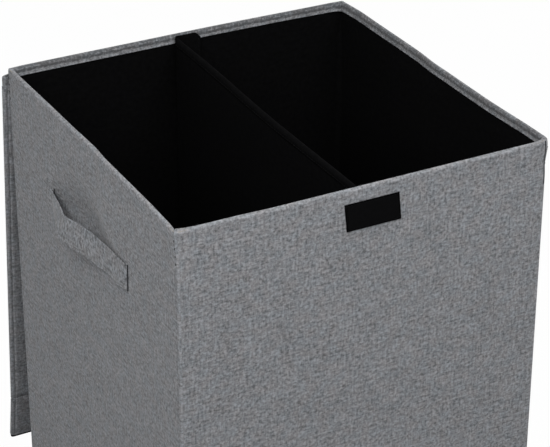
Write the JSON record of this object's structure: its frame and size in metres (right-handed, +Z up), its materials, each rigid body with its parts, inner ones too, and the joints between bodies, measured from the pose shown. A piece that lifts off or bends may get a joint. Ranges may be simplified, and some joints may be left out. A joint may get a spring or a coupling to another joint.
{
  "type": "laundry hamper",
  "caption": "Upright cloth-covered laundry hamper split into two bins by a lift-out divider, with side straps and a lid that hangs open behind the back wall.",
  "frame": {"origin": "middle of the body's underside, on the floor", "axes": "+X to the right along the front, +Y to the back, where the lid is hinged, +Z up"},
  "size_m": [0.4274, 0.4587, 0.6],
  "materials": {
    "grey_cloth": "heathered mid-grey linen-look weave, matt",
    "black_lining": "thin black non-woven cloth, matt",
    "fastening_tape": "black hook-and-loop tape, matt",
    "board": "grey pressed board, bare, hidden in the cloth"
  },
  "bodies": {
    "hamper_body": {"front_cover": "grey_cloth", "front_lining": "black_lining", "front_board": "board", "front_divider_loop_strip": "fastening_tape", "front_loop_patch": "fastening_tape", "back_cover": "grey_cloth", "back_lining": "black_lining", "back_board": "board", "back_divider_loop_strip": "fastening_tape", "lid_hinge_tab": "grey_cloth", "left_cover": "grey_cloth", "left_lining": "black_lining", "left_rear_board": "board", "left_front_board": "board", "left_handle_strap": "grey_cloth", "right_cover": "grey_cloth", "right_lining": "black_lining", "right_rear_board": "board", "right_front_board": "board", "right_handle_strap": "grey_cloth", "base_cloth": "black_lining"},
    "base_board": {"base_board": "board", "base_board_wrap": "black_lining"},
    "divider": {"divider_sleeve": "black_lining", "divider_board": "board", "divider_top_binding": "black_lining", "divider_front_flange": "black_lining", "divider_back_flange": "black_lining", "divider_front_hook_strip": "fastening_tape", "divider_back_hook_strip": "fastening_tape"},
    "hinge_strip": {"lid_hinge_strip": "grey_cloth"},
    "lid": {"lid_cover": "grey_cloth", "lid_lining": "black_lining", "lid_board": "board"},
    "flap": {"flap_cover": "grey_cloth", "flap_lining": "black_lining", "flap_board": "board", "flap_hook_patch": "fastening_tape"}
  },
  "joints": [
    {"name": "lid_hinge", "type": "hinge", "parent": "hamper_body", "child": "hinge_strip", "pos_m": [0, 0.2043, 0.591], "axis": [1, 0, 0], "range_deg": [0, 174.7]},
    {"name": "lid_fold", "type": "hinge", "parent": "hinge_strip", "child": "lid", "pos_m": [0, 0.20532, 0.58005], "axis": [1, 0, 0], "range_deg": [0, 90]},
    {"name": "flap_fold", "type": "hinge", "parent": "lid", "child": "flap", "pos_m": [0, 0.24332, 0.17041], "axis": [1, 0, 0], "range_deg": [0, 84.5]},
    {"name": "divider_lift", "type": "slide", "parent": "base_board", "child": "divider", "axis": [0, 0, 1], "range_m": [0, 0.62]},
    {"name": "base_board_lift", "type": "slide", "parent": "hamper_body", "child": "base_board", "axis": [0, 0, 1], "range_m": [0, 0.62]}
  ]
}
